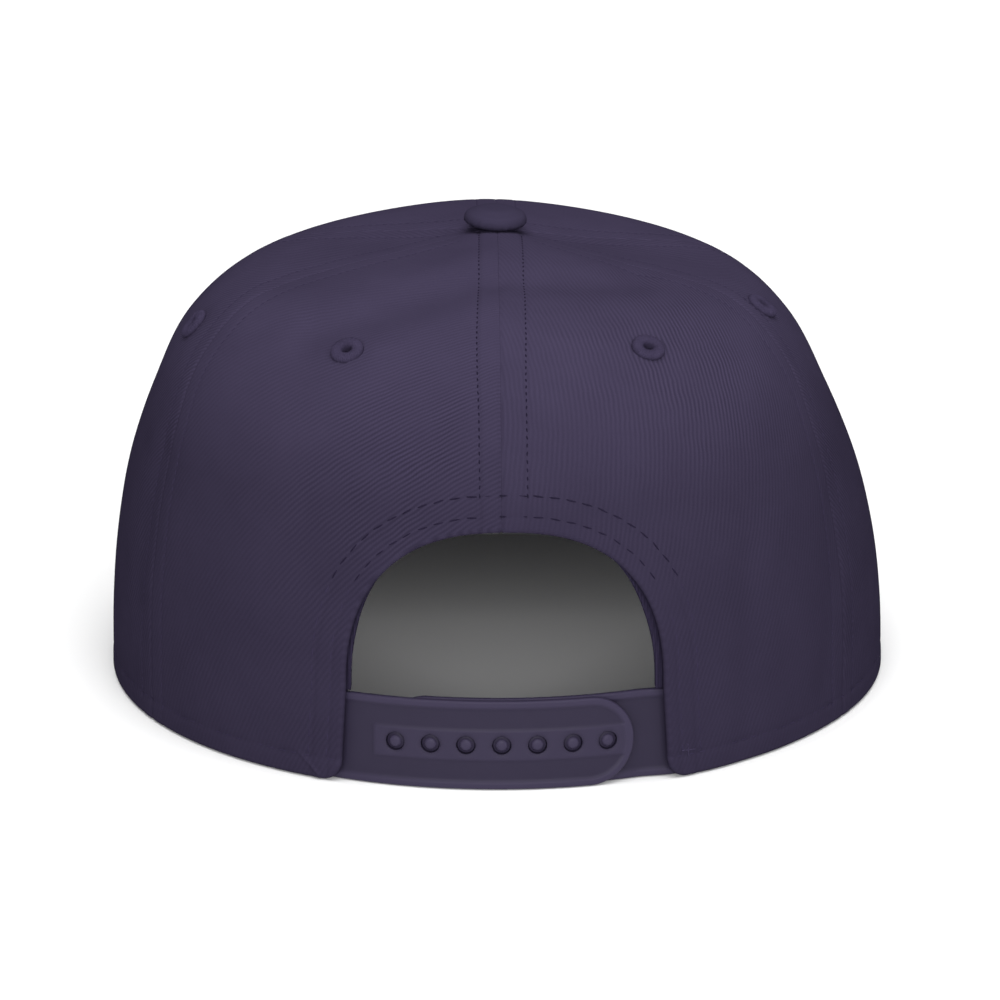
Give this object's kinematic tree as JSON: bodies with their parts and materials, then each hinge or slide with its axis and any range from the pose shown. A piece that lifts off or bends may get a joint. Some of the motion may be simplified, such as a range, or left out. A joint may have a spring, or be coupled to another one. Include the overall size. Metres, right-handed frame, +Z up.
{
  "type": "snapback cap",
  "caption": "Structured snapback cap with sewn cloth panels, eyelets, a covered button, a flat stiff visor and an adjustable plastic snap strap across the back arch.",
  "frame": {"origin": "under the middle of the whole cap, on the plane that the rim stands on", "axes": "+Z up, the visor towards -Y, the strap towards +Y, the wearer's left towards +X"},
  "size_m": [0.1838, 0.2588, 0.1075],
  "materials": {
    "twill": "matt dark navy twill",
    "thread": "tight embroidery thread, slight sheen",
    "lining": "matt dark tape and band",
    "strap_plastic": "moulded satin plastic"
  },
  "bodies": {
    "root": {"panel_back_left": "twill", "panel_back_right": "twill", "panel_side_left": "twill", "panel_side_right": "twill", "panel_front_left": "twill", "panel_front_right": "twill", "eyelet_back_left": "thread", "eyelet_back_right": "thread", "eyelet_side_left": "thread", "eyelet_side_right": "thread", "eyelet_front_left": "thread", "eyelet_front_right": "thread", "button": "twill", "visor": "twill", "sweatband": "lining", "arch_binding": "lining", "strap_outer": "strap_plastic", "strap_inner": "strap_plastic"}
  },
  "joints": []
}
